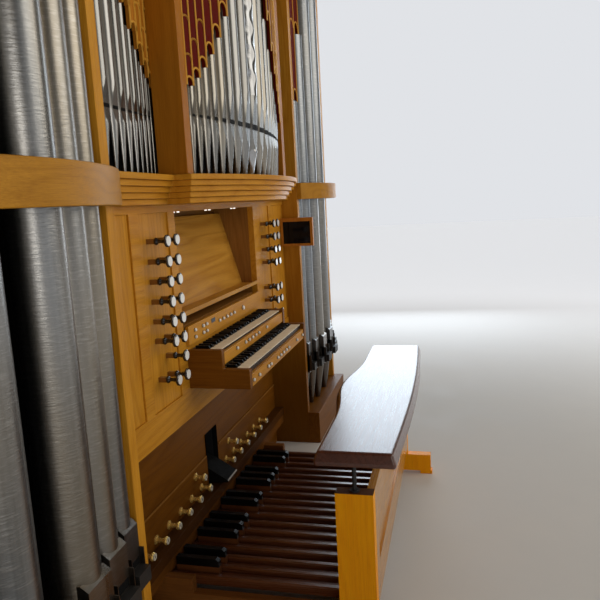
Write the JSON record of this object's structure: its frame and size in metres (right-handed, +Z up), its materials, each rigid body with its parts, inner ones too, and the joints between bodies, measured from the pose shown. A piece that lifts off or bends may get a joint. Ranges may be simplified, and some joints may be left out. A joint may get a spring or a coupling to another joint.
{
  "type": "pipe organ",
  "caption": "Two-manual pipe organ: oak case with three pipe towers and flats, built-in console with stops, pedalboard and a separate height-adjustable bench.",
  "frame": {"origin": "on the floor, at the centre of the case and bench together", "axes": "+X to the player's right, -Y to the front where the player sits, +Z up"},
  "size_m": [3.736, 1.676, 3.6],
  "materials": {
    "oak": "satin light oak, straight grain",
    "oak_shaded": "satin brown oak",
    "pipe_metal": "planed grey tin-lead sheet, satin",
    "shade_red": "dark red painted field with oak borders",
    "shade_oak": "orange-brown oak with light borders",
    "stop_black": "black turned heads with white faces",
    "piston_white": "polished white",
    "key_natural": "pale wood key plates",
    "key_sharp": "black stained hardwood",
    "toe_brass": "polished brass",
    "swell_black": "matt black tread",
    "black_steel": "black satin paint",
    "pedal_wood": "reddish-brown hardwood, worn on top",
    "pedal_black": "black stained hardwood",
    "seat_wood": "polished dark mahogany",
    "light_white": "small round lamps"
  },
  "bodies": {
    "root": {"tower_plinths": "oak", "tower_inner_boards": "oak", "tower_outer_boards": "oak", "case_back": "oak_shaded", "case_roof": "oak_shaded", "cornice": "oak", "tower_bands": "oak", "impost": "oak", "centre_piers": "oak", "tower_pipes_left": "pipe_metal", "tower_pipes_right": "pipe_metal", "flat_pipes_left": "pipe_metal", "flat_pipes_right": "pipe_metal", "centre_pipes": "pipe_metal", "tower_shades": "shade_red", "flat_shades": "shade_oak", "centre_shade": "shade_red", "console_frame": "oak", "console_panels": "oak", "stops_left": "stop_black", "stops_right": "stop_black", "desk_recess": "oak_shaded", "recess_lights": "light_white", "music_desk": "oak", "piston_panel": "oak", "thumb_pistons": "piston_white", "key_desk": "oak_shaded", "upper_keyslip": "oak", "lower_keyslip": "oak", "upper_naturals": "key_natural", "upper_sharps": "key_sharp", "lower_naturals": "key_natural", "lower_sharps": "key_sharp", "knee_board": "oak_shaded", "toe_board": "oak_shaded", "toe_rail": "oak_shaded", "toe_pistons": "toe_brass", "swell_frame": "black_steel", "pedal_frame": "pedal_wood", "pedal_naturals": "pedal_wood", "pedal_sharps": "pedal_black", "bench_ends": "oak", "bench_sockets": "black_steel", "bench_panel": "seat_wood", "monitor": "oak_shaded", "monitor_arm": "black_steel"},
    "swell_shoe": {"swell_pedal": "swell_black"},
    "seat": {"bench_seat": "seat_wood", "bench_rods": "black_steel"}
  },
  "joints": [
    {"name": "swell_pedal_tilt", "type": "hinge", "parent": "root", "child": "swell_shoe", "pos_m": [0, 0.118, 0.228], "axis": [1, 0, 0], "range_deg": [-16, 0]},
    {"name": "seat_lift", "type": "slide", "parent": "root", "child": "seat", "axis": [0, 0, 1], "range_m": [-0.06, 0.06]}
  ]
}
